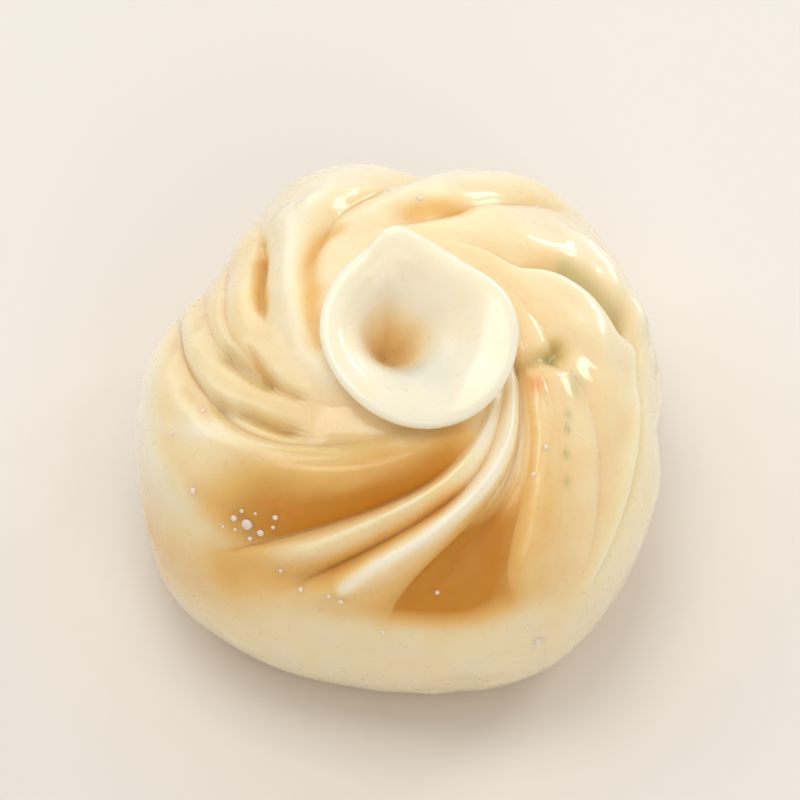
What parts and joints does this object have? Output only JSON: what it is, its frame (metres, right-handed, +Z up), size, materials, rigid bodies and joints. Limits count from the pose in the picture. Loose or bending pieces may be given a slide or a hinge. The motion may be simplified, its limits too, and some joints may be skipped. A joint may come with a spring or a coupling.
{
  "type": "soup dumpling",
  "caption": "Steamed xiaolongbao soup dumpling: round belly on a flat foot, dough pleats swirling up to a flared lip round a small blind hole.",
  "frame": {"origin": "middle of the footprint box, on the plane of the flat foot", "axes": "+Z up through the foot to the lip; +Y toward the lip's raised corner, away from the viewer; +X to the viewer's right"},
  "size_m": [0.047, 0.0484, 0.0364],
  "materials": {
    "dough": "thin steamed wheat dough, moist and slightly translucent, cream where it is thick and amber where the filling shows through"
  },
  "bodies": {
    "root": {"dumpling_dough": "dough"}
  },
  "joints": []
}
